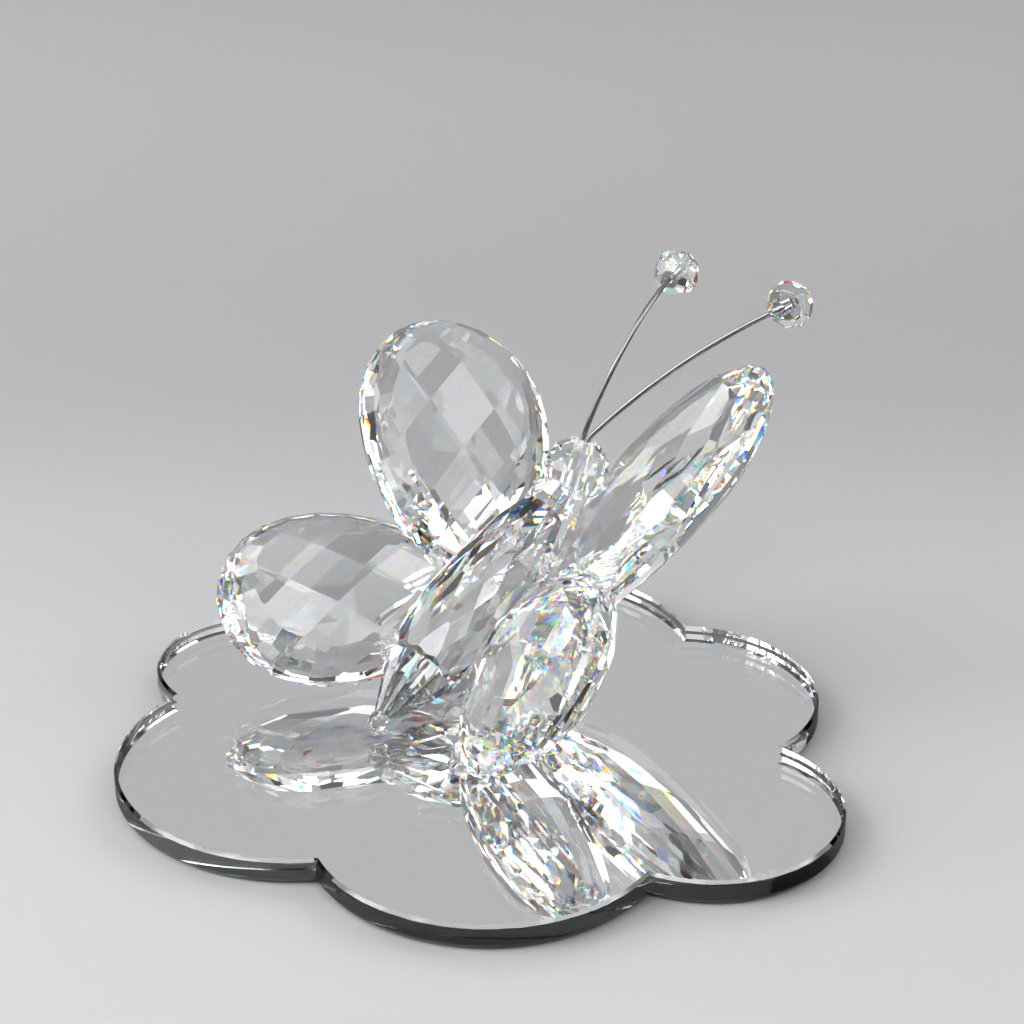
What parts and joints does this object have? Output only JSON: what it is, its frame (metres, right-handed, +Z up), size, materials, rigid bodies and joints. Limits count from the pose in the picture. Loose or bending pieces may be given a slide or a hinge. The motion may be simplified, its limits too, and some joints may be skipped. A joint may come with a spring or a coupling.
{
  "type": "butterfly ornament",
  "caption": "Faceted clear glass butterfly with springy wire antennae, cemented on a scalloped mirror plate that stands on a shelf or table.",
  "frame": {"origin": "centre of the plate's underside, where the ornament stands", "axes": "+Z up, normal to the plate; -Y is the side seen in the picture; the butterfly heads towards +X and +Y, fifty degrees from +X"},
  "size_m": [0.0951, 0.1129, 0.0542],
  "materials": {
    "crystal": "clear cut glass with polished facets",
    "plate_glass": "clear float glass with polished chamfers",
    "silvering": "reflecting film under the plate",
    "backing": "matt grey protective coat",
    "steel_wire": "bright drawn spring wire",
    "cement": "clear cured cement"
  },
  "bodies": {
    "ornament": {"tail_cone": "crystal", "abdomen": "crystal", "neck_bead": "crystal", "head_bead": "crystal", "upper_left_wing": "crystal", "lower_left_wing": "crystal", "upper_right_wing": "crystal", "lower_right_wing": "crystal", "tail_cement": "cement", "neck_cement": "cement", "head_cement": "cement", "antenna_cement": "cement", "upper_left_root_cement": "cement", "lower_left_root_cement": "cement", "upper_right_root_cement": "cement", "lower_right_root_cement": "cement", "tail_foot_cement": "cement", "wing_foot_cement": "cement", "plate_glass": "plate_glass", "plate_silvering": "silvering", "plate_backing": "backing"},
    "left_antenna": {"left_antenna_wire": "steel_wire", "left_antenna_bead": "crystal", "left_bead_cement": "cement"},
    "right_antenna": {"right_antenna_wire": "steel_wire", "right_antenna_bead": "crystal", "right_bead_cement": "cement"}
  },
  "joints": [
    {"name": "left_antenna_flex", "type": "hinge", "parent": "ornament", "child": "left_antenna", "pos_m": [0.01516, 0.03636, 0.0301], "axis": [0.766, -0.6428, 0], "range_deg": [-10, 10], "stiffness_Nm_per_rad": 0.22},
    {"name": "right_antenna_flex", "type": "hinge", "parent": "ornament", "child": "right_antenna", "pos_m": [0.01589, 0.03575, 0.0301], "axis": [0.766, -0.6428, 0], "range_deg": [-10, 10], "stiffness_Nm_per_rad": 0.22}
  ]
}
